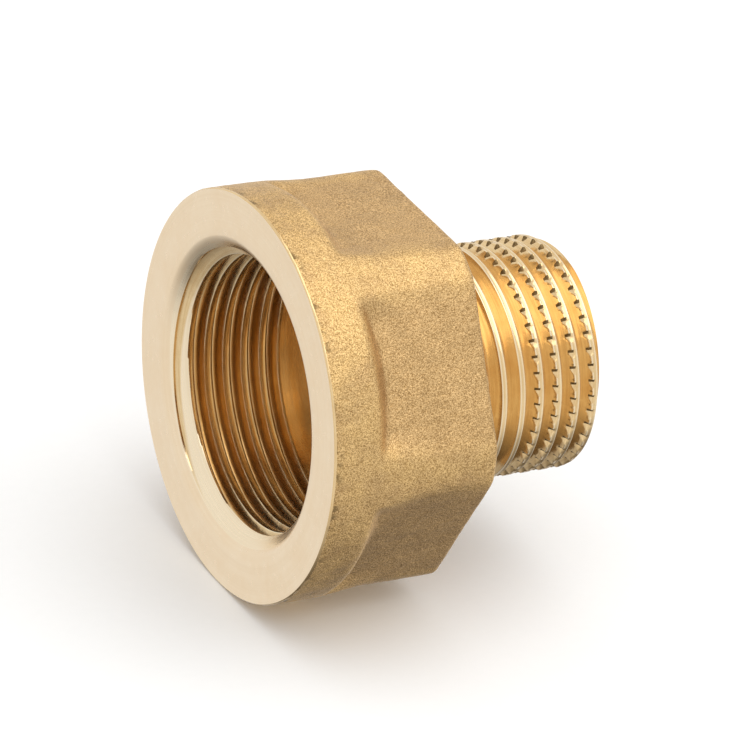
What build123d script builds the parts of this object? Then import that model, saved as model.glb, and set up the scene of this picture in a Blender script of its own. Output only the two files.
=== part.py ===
from build123d import *
from math import ceil, floor, radians, tan
import os

# Reducing coupling: one forged brass body with a female G 3/4 socket and a male G 1/2 spigot.
#
# The part axis is +X, and one flat of the hexagon faces straight up, towards +Z.
# The origin is the centre of the female end face. The socket opens towards -X.
# All sizes are in millimetres.

# ---- driving dimensions ---------------------------------------------------------------

# overall
overall_length = 31.0  # from the female end face to the male end face
collar_length = 4.5  # cylindrical stretch of the collar
collar_slope = 50.0  # degrees, slope of the collar's back shoulder down to the flats
collar_edge_chamfer = 0.2  # broken outer edge of the female end face

# hexagon
across_flats = 32.7  # for a 33 mm wrench
corner_allowance = 3.3  # across the rounded long corners, more than across the flats
collar_step = 0.4  # the round collar stands this far outside the long corners
hexagon_end = 16.35  # distance of the hexagon's back face from the female end face
hexagon_corner_radius = 1.4  # blend between a flat and a rounded corner
hexagon_edge_radius = 0.5  # forged rounding around the back face

# pipe threads, right hand, 55 degree flanks, 14 turns to the inch on both sizes
thread_pitch = 25.4 / 14
flank_angle = 27.5  # degrees, half of the thread angle
thread_depth = 0.640327 * thread_pitch

# female G 3/4
female_major_diameter = 26.441
female_groove_depth = 0.9205  # leaves a 24.6 bore, inside the 24.117 to 24.658 limits
mouth_margin = 0.68  # the 45 degree lead-in opens this far outside the thread, on the radius
female_root_width = 0.30  # flat at the bottom of the groove
female_plain_bore = 3.0  # at least this much bore is left plain behind the last full turn
socket_floor = 2.15  # metal between the bottom of the socket and the hexagon's back face

# male G 1/2
male_major_diameter = 20.955
male_root_width = 0.12  # flat at the bottom of the groove
neck_clearance = 0.215  # the run-out neck lies this far below the thread's floor, on the radius
neck_length = 2.0
male_end_chamfer = 0.6

# waterway through the spigot
neck_wall = 1.6  # metal between the waterway and the neck
waterway_edge_chamfer = 0.5

# serrated crests, which hold hemp or tape when the joint is wound
serration_count = 45
serration_depth = 0.30
serration_steep_angle = 20.0  # degrees from the radius, short wall of each notch
serration_ramp_angle = 62.0  # degrees from the radius, long wall of each notch
serrated_length = 7.5  # measured back from the male end face

# where each groove starts around the axis, in degrees from the top towards -Y
female_start_angle = 94.9
male_start_angle = -80.3

groove_overrun = 0.25  # how far a thread tool stands proud of the crests it cuts between
notch_overrun = 0.3  # how far a notch tool stands proud of the crests it cuts across

# ---- derived sizes --------------------------------------------------------------------

corner_radius = (across_flats + corner_allowance) / 2
collar_radius = corner_radius + collar_step
female_major_radius = female_major_diameter / 2
female_crest_radius = female_major_radius - female_groove_depth
female_mouth_radius = female_major_radius + mouth_margin
socket_depth = hexagon_end - socket_floor
male_major_radius = male_major_diameter / 2
male_floor_radius = male_major_radius - thread_depth
neck_radius = male_floor_radius - neck_clearance
waterway_radius = neck_radius - neck_wall
neck_end = hexagon_end + neck_length
neck_slope = male_major_radius - neck_radius
shoulder_end = collar_length + (collar_radius - neck_radius) / tan(radians(collar_slope))
male_groove_start = neck_end - thread_pitch / 2
female_turn_count = floor((socket_depth - female_plain_bore) / thread_pitch)
male_turn_count = ceil((overall_length - male_groove_start) / thread_pitch + 0.5)
male_turn_starts = [(male_groove_start + turn * thread_pitch, 0, 0) for turn in range(male_turn_count)]
female_turn_starts = [(turn * thread_pitch, 0, 0) for turn in range(-1, female_turn_count)]
notch_reach = serration_depth + notch_overrun
notch_steep_width = notch_reach * tan(radians(serration_steep_angle))
notch_ramp_width = notch_reach * tan(radians(serration_ramp_angle))


def groove_turn(floor_radius, floor_width, depth, start_angle):
    """A cutter for one turn of a thread groove, starting at x = 0. Its floor runs on
    floor_radius and its 55 degree flanks open outwards, or inwards if depth is negative."""
    reach = depth + groove_overrun if depth > 0 else depth - groove_overrun
    mouth_half = floor_width / 2 + abs(reach) * tan(radians(flank_angle))
    with BuildPart() as cutter:
        with BuildLine() as path:
            Helix(
                pitch=thread_pitch,
                height=thread_pitch,
                radius=floor_radius,
                direction=(1, 0, 0),
            )
        start = path.line @ 0
        with BuildSketch(Plane(origin=start, x_dir=start, z_dir=path.line % 0)):
            with BuildLine():
                Polyline(
                    (0, -floor_width / 2),
                    (reach, -mouth_half),
                    (reach, mouth_half),
                    (0, floor_width / 2),
                    close=True,
                )
            make_face()
        sweep(path=path.wire(), is_frenet=True)
    return cutter.part.rotate(Axis.X, start_angle)


# ---- thread grooves, one turn of each -------------------------------------------------

male_groove_turn = groove_turn(
    floor_radius=male_floor_radius,
    floor_width=male_root_width,
    depth=thread_depth,
    start_angle=male_start_angle,
)
female_groove_turn = groove_turn(
    floor_radius=female_major_radius,
    floor_width=female_root_width,
    depth=-female_groove_depth,
    start_angle=female_start_angle,
)

# ---- the body: forged blank, then what is turned and cut into it ----------------------

with BuildPart() as coupling_body:
    # hexagon with rounded long corners, one flat facing down
    with BuildSketch(Plane.YZ):
        RegularPolygon(radius=across_flats / 2, side_count=6, major_radius=False)
        Circle(corner_radius, mode=Mode.INTERSECT)
        fillet(vertices(), hexagon_corner_radius)
    extrude(amount=hexagon_end)
    back_edges = coupling_body.faces().sort_by(Axis.X)[-1].edges()
    fillet(back_edges, hexagon_edge_radius)

    # collar: a turned cylinder with a sloping back shoulder that runs out on the flats
    with BuildSketch(Plane.XZ):
        with BuildLine():
            Polyline(
                (0, 0),
                (0, collar_radius - collar_edge_chamfer),
                (collar_edge_chamfer, collar_radius),
                (collar_length, collar_radius),
                (shoulder_end, neck_radius),
                (shoulder_end, 0),
                close=True,
            )
        make_face()
    revolve(axis=Axis.X)

    # spigot: run-out neck, then the thread blank with its chamfered end
    with BuildSketch(Plane.XZ):
        with BuildLine():
            Polyline(
                (0, 0),
                (0, neck_radius),
                (neck_end, neck_radius),
                (neck_end + neck_slope, male_major_radius),
                (overall_length - male_end_chamfer, male_major_radius),
                (overall_length, male_major_radius - male_end_chamfer),
                (overall_length, 0),
                close=True,
            )
        make_face()
    revolve(axis=Axis.X)

    # socket: lead-in, thread bore and floor, then the waterway
    with BuildSketch(Plane.XZ):
        with BuildLine():
            Polyline(
                (0, 0),
                (0, female_mouth_radius),
                (female_mouth_radius - female_crest_radius, female_crest_radius),
                (socket_depth, female_crest_radius),
                (socket_depth, waterway_radius + waterway_edge_chamfer),
                (socket_depth + waterway_edge_chamfer, waterway_radius),
                (overall_length - waterway_edge_chamfer, waterway_radius),
                (overall_length, waterway_radius + waterway_edge_chamfer),
                (overall_length, 0),
                close=True,
            )
        make_face()
    revolve(axis=Axis.X, mode=Mode.SUBTRACT)

    # threads: the turns of each groove follow on from one another, from clear of the metal
    with Locations(*female_turn_starts):
        add(female_groove_turn, mode=Mode.SUBTRACT)
    with Locations(*male_turn_starts):
        add(male_groove_turn, mode=Mode.SUBTRACT)

    # serrations: axial notches across the outer crests, none as deep as the groove
    with BuildSketch(Plane.YZ.offset(overall_length - serrated_length)):
        with PolarLocations(male_major_radius - serration_depth, serration_count):
            Polygon(
                (0, 0),
                (notch_reach, -notch_steep_width),
                (notch_reach, notch_ramp_width),
                align=None,
            )
    extrude(amount=serrated_length, mode=Mode.SUBTRACT)

coupling_body.part.label = "coupling_body"

os.makedirs("parts", exist_ok=True)
export_step(coupling_body.part, "parts/coupling_body.step")
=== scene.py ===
import math

import bmesh
import bpy
import numpy as np
from mathutils import Matrix, Vector, noise


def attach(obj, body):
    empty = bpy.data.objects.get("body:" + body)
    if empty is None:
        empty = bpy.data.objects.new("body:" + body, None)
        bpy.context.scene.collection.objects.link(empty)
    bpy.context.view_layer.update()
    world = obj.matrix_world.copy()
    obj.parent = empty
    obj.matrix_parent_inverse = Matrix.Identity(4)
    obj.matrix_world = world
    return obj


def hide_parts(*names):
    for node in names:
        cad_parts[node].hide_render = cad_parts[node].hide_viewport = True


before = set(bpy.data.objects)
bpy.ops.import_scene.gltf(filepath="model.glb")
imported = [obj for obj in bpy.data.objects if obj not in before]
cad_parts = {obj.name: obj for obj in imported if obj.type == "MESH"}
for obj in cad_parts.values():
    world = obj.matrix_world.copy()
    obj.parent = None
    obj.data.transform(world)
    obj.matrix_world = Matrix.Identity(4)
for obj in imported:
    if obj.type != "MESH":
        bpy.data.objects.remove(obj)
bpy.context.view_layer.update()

MM = 0.001

# ---- sizes of the coupling, in millimetres, as in the CAD -----------------------------

LENGTH = 31.0
COLLAR_R = 18.4
COLLAR_LENGTH = 4.5
COLLAR_SLOPE = math.radians(50)
FACE_CHAMFER = 0.2
HALF_FLATS = 16.35
CORNER_R = 18.0
HEX_END = 16.35
HEX_EDGE_R = 0.5

PITCH = 25.4 / 14
FLANK = math.tan(math.radians(27.5))
NECK_R = 9.1
NECK_END = HEX_END + 2.0
MALE_R = 20.955 / 2
MALE_DEPTH = 0.640327 * PITCH
MALE_CREST = 0.24  # half the width of a crest
MALE_START = NECK_END - PITCH / 2
MALE_ANGLE = -80.3
END_CHAMFER = 0.6

FEMALE_CREST_R = 12.3
FEMALE_DEPTH = 26.441 / 2 - FEMALE_CREST_R
FEMALE_CREST = 0.28
FEMALE_START = -PITCH
FEMALE_ANGLE = 94.9
FEMALE_TURNS = 6
MOUTH_R = 13.9
SOCKET_DEPTH = 14.2
WATERWAY_R = 7.5
WATERWAY_CHAMFER = 0.5

NOTCHES = 45
NOTCHED_LENGTH = 7.5
NOTCH_DEPTH = 0.46  # at the hexagon side of a crest
NOTCH_DEEPEST = -0.45  # where that is, from the middle of the crest
NOTCH_RISE = 0.75  # slope of the notch's floor towards the far side of the crest
NOTCH_RAMP = 0.45  # slope of the long wall, around the axis
NOTCH_WALL = 1.8  # slope of the short wall
NOTCH_LEAD = 1.6  # degrees from the deepest line to beyond the short wall

CREST_DIP = 0.05  # the male crests are hollow between their edges, which carry a painted highlight
CREST_DIP_HALF = 0.17
FILLET = 0.25  # in the corners at the neck and at the bottom of the socket
MOUTH_ROUND = 0.28  # how far the mouth's rounded edge spreads on the end face
MOUTH_ROUND_LENGTH = 0.16
FIRST_TURN_OPENED = 0.5  # share by which the tap deepened the groove at the end face
HELIX_FROM = 0.4  # the mesh follows the female thread from here inwards

# depths of what the forging die leaves
WAVE_DEPTH = 0.07
RIPPLE_DEPTH = 0.05
DENT_DEPTH = 0.08
DENT_X, DENT_LENGTH = 11.5, 1.6
DENT_ANGLE, DENT_WIDTH = 168, 5  # degrees around the axis

# ---- columns of the mesh, spaced to suit the notches ----------------------------------

per_notch = np.array([-1.4, 0.0, 0.75, 1.5, 2.3, 3.2, 4.1, 4.9, 5.6, 6.2])
columns = (np.arange(NOTCHES)[:, None] * (360 / NOTCHES) + per_notch[None, :]).ravel()
COLUMNS = len(columns)
seam_columns = np.append(columns, columns[0] + 360)


def smooth_step(t):
    t = np.clip(t, 0, 1)
    return t * t * (3 - 2 * t)


def smooth_min(a, b, k):
    """The smaller of the two, blended where they differ by less than k."""
    return np.minimum(a, b) - np.maximum(k - np.abs(a - b), 0) ** 2 / (4 * k)


def smooth_max(a, b, k):
    return -smooth_min(-a, -b, k)


def hexagon(degrees):
    """Radius of the hexagon at an angle, its long corners rounded."""
    off = np.radians(degrees % 60 - 30)
    return smooth_min(HALF_FLATS / np.cos(off), CORNER_R, 0.30)


def hull(x, degrees):
    """Outer radius of the forging: collar, its sloping shoulder and the hexagon."""
    sloped = COLLAR_R - (x - COLLAR_LENGTH) * math.tan(COLLAR_SLOPE)
    collar = smooth_min(np.full_like(degrees, COLLAR_R), np.full_like(degrees, sloped), 0.6)
    flats = hexagon(degrees)
    r = np.minimum(smooth_max(collar, flats, 0.55), COLLAR_R)
    # at the long corners the collar runs out gently along the hexagon
    gentle = COLLAR_R - (COLLAR_R - flats) * smooth_step((x - 3.5) / 6.5)
    r = r + (gentle - r) * smooth_step((flats - 17.1) / 0.8)
    if x > HEX_END - HEX_EDGE_R:
        r = r - (HEX_EDGE_R - math.sqrt(max(HEX_EDGE_R**2 - (x - HEX_END + HEX_EDGE_R) ** 2, 0)))
    return r


def forged(x, degrees):
    """The hull with the shallow waves and one dent that the forging die leaves, all inwards."""
    r = hull(x, degrees)
    out = np.empty_like(r)
    for i, (radius, a) in enumerate(zip(r, np.radians(degrees))):
        at = Vector((x, radius * math.cos(a), radius * math.sin(a)))
        wave = 0.5 + 0.5 * noise.fractal(at * 0.28, 1.0, 2.0, 3)
        ripple = 0.5 + 0.5 * noise.noise(at * 1.1)
        out[i] = radius - WAVE_DEPTH * wave - RIPPLE_DEPTH * ripple
    dent = np.exp(-(((x - DENT_X) / DENT_LENGTH) ** 2) - ((degrees - DENT_ANGLE) / DENT_WIDTH) ** 2)
    return out - DENT_DEPTH * dent


def from_crest(x, degrees, start, angle):
    """Signed distance along the axis from the middle of the nearest crest."""
    groove = start + PITCH * (degrees - 90 - angle) / 360
    return (x - groove) % PITCH - PITCH / 2


def groove_depth(s, crest, depth, rounding, softness):
    """Depth of a groove beside a crest, its floor and the crest's edges rounded."""
    d = smooth_max((np.abs(s) - crest) / FLANK, 0.0, softness)
    return smooth_min(d, depth, rounding)


def male_radius(x, degrees):
    """Surface of the spigot from the neck to the end: blank, groove and notches."""
    s = from_crest(x, degrees, MALE_START, MALE_ANGLE)
    blank = np.minimum(MALE_R, NECK_R + np.maximum(x - NECK_END, 0))
    blank = np.minimum(blank, LENGTH - x + MALE_R - END_CHAMFER)
    r = np.minimum(blank, MALE_R - groove_depth(s, MALE_CREST, MALE_DEPTH, 0.45, 0.06))
    r = r - CREST_DIP * np.clip(1 - (s / CREST_DIP_HALF) ** 2, 0, 1)
    # notches: each has a short wall and a long ramp, and is deepest on the hexagon side
    across = np.radians((degrees + NOTCH_LEAD) % (360 / NOTCHES) - NOTCH_LEAD) * MALE_R
    walls = np.where(across > 0, NOTCH_RAMP * across, -NOTCH_WALL * across)
    floor = MALE_R - NOTCH_DEPTH + NOTCH_RISE * (s - NOTCH_DEEPEST) + walls
    start = np.clip((x - (LENGTH - NOTCHED_LENGTH)) / 0.1, 0, 1)
    return np.where((start > 0) & (s > -0.6), np.minimum(r, floor + (1 - start)), r)


def female_radius(x, degrees):
    """Surface of the threaded bore, whose groove fades out at its inner end."""
    s = from_crest(x, degrees, FEMALE_START, FEMALE_ANGLE)
    groove = x - s + np.where(s > 0, PITCH / 2, -PITCH / 2)
    fade = smooth_step((FEMALE_TURNS * PITCH - groove) / (0.35 * PITCH))
    # the tap opened the first turn a little
    opened = 1 + FIRST_TURN_OPENED * np.clip(1 - x / (MOUTH_R - FEMALE_CREST_R), 0, 1)
    r = FEMALE_CREST_R + groove_depth(s, FEMALE_CREST, FEMALE_DEPTH * opened, 0.30, 0.10) * fade
    return np.maximum(r, lead_in(x))


def lead_in(x):
    """The 45 degree mouth, with its outer edge rounded off into the end face."""
    return MOUTH_R - x + MOUTH_ROUND * np.exp(-np.asarray(x) / MOUTH_ROUND_LENGTH)


# ---- rows of the mesh -----------------------------------------------------------------
# Each row is (x, radius) at every column, the first one repeated at the seam.

FORGED, FACE, TURNED, BORE, PAINTED_SHADE = range(5)
rows = []
strip_materials = []


def add_row(x, r, material):
    """One row at x and radius r; the strip of faces after it gets this material."""
    xs = np.broadcast_to(np.asarray(x, float), seam_columns.shape).copy()
    rs = np.broadcast_to(np.asarray(r, float), seam_columns.shape).copy()
    rows.append((xs, rs))
    strip_materials.append(material)


def add_helical_rows(x_from, x_to, offsets, start, angle, radius, material):
    """Rows that follow the thread, squeezed flat where they reach either end."""
    low, high = min(x_from, x_to), max(x_from, x_to)
    crest_at_zero = start + PITCH / 2 + PITCH * (0 - 90 - angle) / 360
    first = math.floor((low - crest_at_zero) / PITCH) - 2
    last = math.ceil((high - crest_at_zero) / PITCH) + 2
    lines = []
    for turn in range(first, last + 1):
        for s in offsets:
            x = crest_at_zero + turn * PITCH + s + PITCH * seam_columns / 360
            if x.max() > low + 1e-6 and x.min() < high - 1e-6:
                lines.append(np.clip(x, low, high))
    lines.insert(0, np.full_like(seam_columns, low))
    lines.append(np.full_like(seam_columns, high))
    if x_from > x_to:
        lines.reverse()
    for x in lines:
        add_row(x, radius(x, seam_columns), material)


# rounded mouth and ring face, outwards
for x in (HELIX_FROM, 0.28, 0.18, 0.10, 0.04):
    add_row(x, lead_in(x), FACE)
for r in np.linspace(MOUTH_R + 0.30, COLLAR_R - FACE_CHAMFER, 6):
    add_row(0.0, r, FACE)
add_row(0.0, COLLAR_R - FACE_CHAMFER + 0.03, TURNED)
add_row(FACE_CHAMFER * 0.5, COLLAR_R - FACE_CHAMFER * 0.5 + 0.02, TURNED)
# forged outside
hull_rows = np.concatenate([
    [FACE_CHAMFER, FACE_CHAMFER + 0.06, 0.4],
    np.linspace(0.8, 4.0, 8),
    np.linspace(4.3, 6.9, 16),
    np.linspace(7.3, 15.4, 13),
    HEX_END - HEX_EDGE_R + HEX_EDGE_R * np.sin(np.radians([0, 18, 36, 54, 72, 90])),
])
for x in hull_rows:
    add_row(x, forged(x, seam_columns), FORGED)
edge = forged(HEX_END, seam_columns)
for t in (0.25, 0.5, 0.75, 0.93):
    add_row(HEX_END, edge + (NECK_R + FILLET - edge) * t, FORGED)
# neck
for a in np.radians([0, 30, 60, 90]):
    add_row(HEX_END + FILLET * (1 - math.cos(a)), NECK_R + FILLET * (1 - math.sin(a)), TURNED)
for x in np.linspace(HEX_END + 0.6, NECK_END - 0.25, 4):
    add_row(x, NECK_R, TURNED)
# male thread
male_lines = [-0.78, -0.62, -0.46, -0.35, -0.25, -0.19, -0.04, 0.10, 0.19, 0.25, 0.40, 0.60, 0.78, PITCH / 2]
add_helical_rows(NECK_END, LENGTH, male_lines, MALE_START, MALE_ANGLE, male_radius, TURNED)
# male end face and waterway
tip = rows[-1][1]
inner = WATERWAY_R + WATERWAY_CHAMFER
for t in (0.12, 0.5, 0.9, 1.0):
    add_row(LENGTH, tip + (inner - tip) * t, TURNED)
add_row(LENGTH - 0.04, inner - 0.06, TURNED)
add_row(LENGTH - WATERWAY_CHAMFER, WATERWAY_R + 0.02, TURNED)
for x in np.linspace(LENGTH - WATERWAY_CHAMFER - 0.1, SOCKET_DEPTH + WATERWAY_CHAMFER + 0.1, 6):
    add_row(x, WATERWAY_R, BORE)
add_row(SOCKET_DEPTH + WATERWAY_CHAMFER, WATERWAY_R + 0.02, BORE)
add_row(SOCKET_DEPTH, inner, BORE)
for r in np.linspace(inner + 0.1, FEMALE_CREST_R - FILLET, 5):
    add_row(SOCKET_DEPTH, r, BORE)
for a in np.radians([30, 60, 90]):
    add_row(SOCKET_DEPTH - FILLET * (1 - math.cos(a)), FEMALE_CREST_R - FILLET * (1 - math.sin(a)), BORE)
add_row(SOCKET_DEPTH - 0.8, FEMALE_CREST_R, BORE)
# female thread, back to the mouth
female_lines = [-0.72, -0.52, -0.38, -0.28, -0.16, 0.0, 0.16, 0.28, 0.38, 0.52, 0.72, PITCH / 2]
add_helical_rows(12.9, HELIX_FROM, female_lines, FEMALE_START, FEMALE_ANGLE, female_radius, BORE)

# ---- the body's mesh ------------------------------------------------------------------

count = len(rows)
angles = np.radians(seam_columns)
xs = np.array([r[0] for r in rows])
rs = np.array([r[1] for r in rows])
points = np.stack([xs, rs * np.cos(angles), rs * np.sin(angles)], -1)
width = COLUMNS + 1
faces, face_materials = [], []
for j in range(count):
    below = ((j + 1) % count) * width
    here = j * width
    for i in range(COLUMNS):
        faces.append((here + i, below + i, below + i + 1, here + i + 1))
    face_materials += [strip_materials[j]] * COLUMNS

# the short walls of the notches are given a darker metal, painted shade standing in for the deep shade in
# the notches
face_materials = np.array(face_materials)
mid_x = np.mean([xs[:, :-1], np.roll(xs, -1, 0)[:, 1:]], 0).ravel()
mid_r = np.mean([rs[:, :-1], np.roll(rs, -1, 0)[:, 1:]], 0).ravel()
short_wall = np.tile(np.arange(COLUMNS) % len(per_notch) == 0, count)
notched = (mid_x > LENGTH - NOTCHED_LENGTH + 0.1) & (mid_r > MALE_R - NOTCH_DEPTH) & (mid_r < MALE_R - 0.06)
face_materials[(face_materials == TURNED) & short_wall & notched & (mid_x < LENGTH - 0.7)] = PAINTED_SHADE

mesh = bpy.data.meshes.new("brass_body")
mesh.from_pydata((points.reshape(-1, 3) * MM).tolist(), [], faces)
mesh.polygons.foreach_set("material_index", face_materials)
bm = bmesh.new()
bm.from_mesh(mesh)
bmesh.ops.remove_doubles(bm, verts=bm.verts, dist=1e-6)
bmesh.ops.dissolve_degenerate(bm, edges=bm.edges, dist=1e-7)
bmesh.ops.recalc_face_normals(bm, faces=bm.faces)
triangles = sum(len(f.verts) - 2 for f in bm.faces)
open_edges = sum(1 for e in bm.edges if not e.is_manifold)
print("body faces", len(bm.faces), "triangles", triangles, "open edges", open_edges)
bm.to_mesh(mesh)
bm.free()
mesh.shade_smooth()
mesh.set_sharp_from_angle(angle=math.radians(32))
body = bpy.data.objects.new("brass_body", mesh)
bpy.context.scene.collection.objects.link(body)

# ---- materials ------------------------------------------------------------------------


class Nodes:
    """Short names for building one material's nodes."""

    def __init__(self, name):
        self.material = bpy.data.materials.new(name)
        self.material.use_nodes = True
        self.tree = self.material.node_tree
        self.shader = self.tree.nodes["Principled BSDF"]
        self.place = self.node("ShaderNodeTexCoord").outputs["Object"]

    def node(self, kind, **settings):
        n = self.tree.nodes.new(kind)
        for key, value in settings.items():
            setattr(n, key, value)
        return n

    def link(self, value, socket):
        """Connect a socket, or set it if the value is a plain number or colour."""
        if hasattr(value, "default_value"):
            self.tree.links.new(value, socket)
        else:
            socket.default_value = value

    def math(self, operation, a, b=0.0):
        n = self.node("ShaderNodeMath", operation=operation)
        for value, socket in zip((a, b), n.inputs):
            self.link(value, socket)
        return n.outputs[0]

    def vector(self, x, y, z):
        n = self.node("ShaderNodeCombineXYZ")
        for value, socket in zip((x, y, z), n.inputs):
            self.link(value, socket)
        return n.outputs[0]

    def noise(self, where, scale, detail=3.0, rough=0.55, distortion=0.0):
        n = self.node("ShaderNodeTexNoise")
        self.link(where, n.inputs["Vector"])
        n.inputs["Scale"].default_value = scale
        n.inputs["Detail"].default_value = detail
        n.inputs["Roughness"].default_value = rough
        n.inputs["Distortion"].default_value = distortion
        return n.outputs["Fac"]

    def spread(self, value, low, high, to_low=0.0, to_high=1.0):
        """The value's range from low to high, stretched to another range and held at its ends."""
        n = self.node("ShaderNodeMapRange")
        for v, socket in zip((value, low, high, to_low, to_high), n.inputs):
            self.link(v, socket)
        return n.outputs["Result"]

    def mix(self, factor, a, b, blend="MIX"):
        n = self.node("ShaderNodeMix", data_type="RGBA", blend_type=blend)
        self.link(factor, n.inputs[0])
        for value, socket in ((a, n.inputs[6]), (b, n.inputs[7])):
            self.link(value if hasattr(value, "default_value") else (*value, 1), socket)
        return n.outputs[2]

    def bump(self, height, distance, strength=1.0, normal=None):
        n = self.node("ShaderNodeBump")
        n.inputs["Strength"].default_value = strength
        n.inputs["Distance"].default_value = distance
        self.link(height, n.inputs["Height"])
        if normal is not None:
            self.link(normal, n.inputs["Normal"])
        return n.outputs["Normal"]

    def round_coordinates(self):
        """Place along the axis, distance from it, and angle about it."""
        n = self.node("ShaderNodeSeparateXYZ")
        self.link(self.place, n.inputs[0])
        x, y, z = n.outputs
        squares = self.math("ADD", self.math("MULTIPLY", y, y), self.math("MULTIPLY", z, z))
        return x, self.math("SQRT", squares), self.math("ARCTAN2", z, y)

    def finish(self, colour, roughness, normal):
        self.shader.inputs["Metallic"].default_value = 1.0
        self.link(colour, self.shader.inputs["Base Color"])
        self.link(roughness, self.shader.inputs["Roughness"])
        self.link(normal, self.shader.inputs["Normal"])
        return self.material


def forged_skin():
    """Sand blasted skin of the forging: grain, small pits and cloudy patches."""
    n = Nodes("forged_brass")
    x, radius, _ = n.round_coordinates()
    grain = n.noise(n.place, 5200, 3, 0.6)
    clouds = n.noise(n.place, 330, 4, 0.6, 0.3)
    pits = n.noise(n.place, 1500, 3, 0.6)
    colour = n.mix(n.spread(clouds, 0.35, 0.65), (0.64, 0.43, 0.215), (0.73, 0.50, 0.255))
    # the long corners and the back edge are rubbed brighter, in patches
    rubbed = n.math("MULTIPLY", n.spread(radius, 0.0172, 0.0180), n.spread(clouds, 0.30, 0.60))
    colour = n.mix(n.math("MULTIPLY", rubbed, 0.7), colour, (0.84, 0.59, 0.28))
    # dark and bright grains
    fine = n.noise(n.place, 9500, 2, 0.5)
    dark = n.mix(1.0, colour, (0.60, 0.53, 0.42), "MULTIPLY")
    bright = n.mix(1.0, colour, (1.18, 1.18, 1.12), "MULTIPLY")
    colour = n.mix(n.spread(fine, 0.38, 0.60), dark, bright)
    coarse_dark = n.mix(1.0, colour, (0.72, 0.66, 0.56), "MULTIPLY")
    colour = n.mix(n.spread(grain, 0.30, 0.50), coarse_dark, colour)
    # pits where the turned face breaks through the skin
    patches = n.noise(n.place, 500, 2, 0.5)
    ragged = n.math("MULTIPLY", n.spread(pits, 0.48, 0.55), n.spread(patches, 0.48, 0.60))
    rim = n.math("MULTIPLY", n.spread(x, 0.0010, 0.0003), ragged)
    colour = n.mix(n.math("MULTIPLY", rim, 0.8), colour, (0.16, 0.10, 0.04))
    rough = n.spread(clouds, 0.3, 0.7, 0.42, 0.52)
    normal = n.bump(n.spread(pits, 0.30, 0.55), 0.00003)
    normal = n.bump(n.math("ADD", grain, n.math("MULTIPLY", fine, 0.5)), 0.00005, 1.0, normal)
    return n.finish(colour, rough, normal)


def faced_metal():
    """The faced end: fine rings from the lathe under a soft, pale sheen."""
    n = Nodes("faced_brass")
    _, radius, angle = n.round_coordinates()
    rings = n.noise(n.vector(radius, n.math("MULTIPLY", angle, 0.00005), 0.0), 5200, 3, 0.6)
    clouds = n.noise(n.place, 260, 3, 0.6)
    specks = n.noise(n.place, 1500, 3, 0.6)
    colour = n.mix(n.spread(clouds, 0.35, 0.7), (0.95, 0.78, 0.56), (0.92, 0.73, 0.50))
    colour = n.mix(n.spread(rings, 0.3, 0.7, 0.0, 0.4), colour, (0.86, 0.67, 0.44))
    rough = n.spread(specks, 0.3, 0.7, 0.26, 0.38)
    normal = n.bump(rings, 0.000006, 0.6)
    return n.finish(colour, rough, normal)


def turned_metal(name, light, deep, chatter_height, crest_from, crest_to, thread_ends):
    """Cut brass: tool marks round the axis, slight chatter along it, a few stains, a painted highlight on
    the crests and a painted reflection on the lead-in.
    Crests are the radii from crest_from to crest_to, beyond the thread_ends along the axis."""
    n = Nodes(name)
    x, radius, angle = n.round_coordinates()
    marks = n.noise(n.vector(x, radius, n.math("MULTIPLY", angle, 0.0002)), 6500, 3, 0.6)
    around, along = n.math("MULTIPLY", angle, 0.011), n.math("MULTIPLY", x, 0.6)
    chatter = n.noise(n.vector(around, along, radius), 900, 2, 0.5)
    stains = n.noise(n.place, 420, 4, 0.65)
    colour = n.mix(n.spread(stains, 0.32, 0.68), light, deep)
    colour = n.mix(n.spread(marks, 0.35, 0.7, 0.0, 0.6), colour, (0.66, 0.42, 0.18))
    # painted highlight: paler metal along the crests, standing in for the light they catch
    crest_highlight = n.math("MULTIPLY", n.spread(radius, crest_from, crest_to), n.spread(x, *thread_ends))
    colour = n.mix(n.math("MULTIPLY", crest_highlight, 0.6), colour, (1.0, 0.86, 0.62))
    # painted reflection: the lead-in is painted as pale as the end face, but for the groove that crosses it
    proud = n.math("SUBTRACT", n.math("ADD", radius, x), MOUTH_R * MM)
    lead = n.math("MULTIPLY", n.spread(proud, 0.00014, 0.00005), n.spread(proud, -0.00010, -0.00003))
    lead = n.math("MULTIPLY", lead, n.spread(x, 0.0018, 0.0014))
    colour = n.mix(n.math("MULTIPLY", lead, 0.85), colour, (0.98, 0.84, 0.62))
    rough = n.math("ADD", n.spread(marks, 0.3, 0.7, 0.13, 0.26), n.math("MULTIPLY", lead, 0.10))
    normal = n.bump(chatter, chatter_height, 0.7)
    normal = n.bump(marks, 0.000008, 0.5, normal)
    return n.finish(colour, rough, normal)


def painted_shade_metal():
    """The short walls of the notches: a darker, rougher brass, standing in for deep shade."""
    n = Nodes("painted_shade_brass")
    film = n.noise(n.place, 4000, 3, 0.6)
    colour = n.mix(n.spread(film, 0.35, 0.65), (0.13, 0.085, 0.035), (0.30, 0.20, 0.09))
    return n.finish(colour, n.spread(film, 0.3, 0.7, 0.4, 0.6), n.bump(film, 0.00002, 0.8))


def floor_paper():
    """Pale matt paper, faintly mottled."""
    n = Nodes("floor_paper")
    fibres = n.noise(n.place, 900, 4, 0.6)
    n.link(n.mix(fibres, (0.93, 0.93, 0.925), (0.96, 0.96, 0.955)), n.shader.inputs["Base Color"])
    n.shader.inputs["Roughness"].default_value = 0.9
    return n.material


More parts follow.
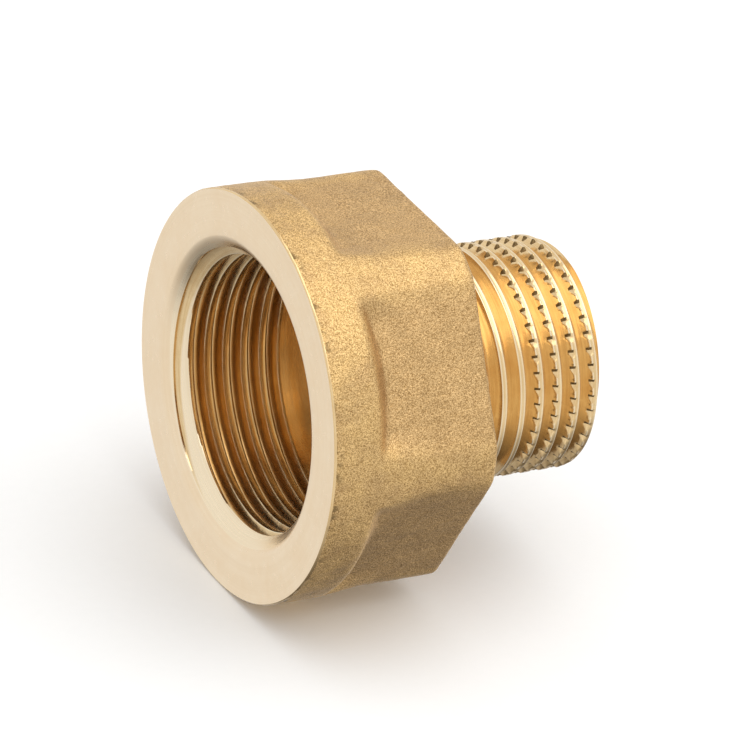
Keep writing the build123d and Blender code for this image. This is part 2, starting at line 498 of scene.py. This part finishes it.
for m in (
    forged_skin(),
    faced_metal(),
    turned_metal(
        "turned_brass",
        light=(0.93, 0.71, 0.40),
        deep=(0.86, 0.61, 0.31),
        chatter_height=0.00002,
        crest_from=0.010435,
        crest_to=0.010465,
        thread_ends=(0.0178, 0.0184),
    ),
    # the bore: darker tones of the same cut brass, painted shade; its crests carry the painted highlight
    turned_metal(
        "bored_brass_painted_shade",
        light=(0.84, 0.64, 0.37),
        deep=(0.72, 0.52, 0.27),
        chatter_height=0.00003,
        crest_from=0.01245,
        crest_to=0.01233,
        thread_ends=(0.0118, 0.0112),
    ),
    painted_shade_metal(),
):
    mesh.materials.append(m)

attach(body, "root")
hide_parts("coupling_body")

# ---- floor, light and camera ----------------------------------------------------------

bpy.ops.mesh.primitive_plane_add(size=4, location=(0, 0, -COLLAR_R * MM))
floor = bpy.context.object
floor.name = "floor"
floor.data.materials.append(floor_paper())
floor.visible_glossy = False  # the metal reflects the studio instead, so its underside stays dark

# a white studio that darkens towards straight down
world = bpy.data.worlds.new("studio")
world.use_nodes = True
links, sky = world.node_tree.links, world.node_tree.nodes
direction = sky.new("ShaderNodeTexCoord")
split = sky.new("ShaderNodeSeparateXYZ")
ramp = sky.new("ShaderNodeValToRGB")
ramp.color_ramp.elements[0].position = 0.0
ramp.color_ramp.elements[0].color = (0.16, 0.145, 0.13, 1)
ramp.color_ramp.elements[1].position = 0.22
ramp.color_ramp.elements[1].color = (1, 1, 1, 1)
rise = sky.new("ShaderNodeMapRange")
rise.inputs["From Min"].default_value = -1
links.new(direction.outputs["Generated"], split.inputs[0])
links.new(split.outputs["Z"], rise.inputs["Value"])
links.new(rise.outputs[0], ramp.inputs[0])
links.new(ramp.outputs["Color"], sky["Background"].inputs["Color"])
sky["Background"].inputs["Strength"].default_value = 0.9
bpy.context.scene.world = world


def softbox(name, place, size, power):
    """A rectangular light, aimed at the middle of the coupling."""
    light = bpy.data.lights.new(name, "AREA")
    light.shape = "RECTANGLE"
    light.size, light.size_y = size
    light.energy = power
    o = bpy.data.objects.new(name, light)
    o.location = place
    o.rotation_euler = (Vector((0.015, 0, 0)) - Vector(place)).to_track_quat("-Z", "Y").to_euler()
    bpy.context.scene.collection.objects.link(o)


softbox("top_softbox", (0.10, -0.12, 0.45), (0.6, 0.6), 1.15)

# the camera: its direction seen from the coupling, then its roll, aim and distance in millimetres
azimuth, elevation, roll = (math.radians(v) for v in (-30.90, 27.73, 6.87))
level = math.cos(elevation)
back = Vector((math.sin(azimuth) * level, -math.cos(azimuth) * level, math.sin(elevation)))
right = Vector((math.cos(azimuth), math.sin(azimuth), 0))
up = back.cross(right)
right, up = right * math.cos(roll) + up * math.sin(roll), up * math.cos(roll) - right * math.sin(roll)
place = Vector((17, 0, 0)) + back * 666.7 - right * 3.17 - up * 0.08
camera_data = bpy.data.cameras.new("camera")
camera_data.lens = 367.3
camera_data.sensor_width = 36
camera = bpy.data.objects.new("camera", camera_data)
camera.matrix_world = Matrix.Translation(place * MM) @ Matrix((right, up, back)).transposed().to_4x4()
bpy.context.scene.collection.objects.link(camera)
bpy.context.scene.camera = camera
bpy.context.scene.view_settings.view_transform = "Standard"
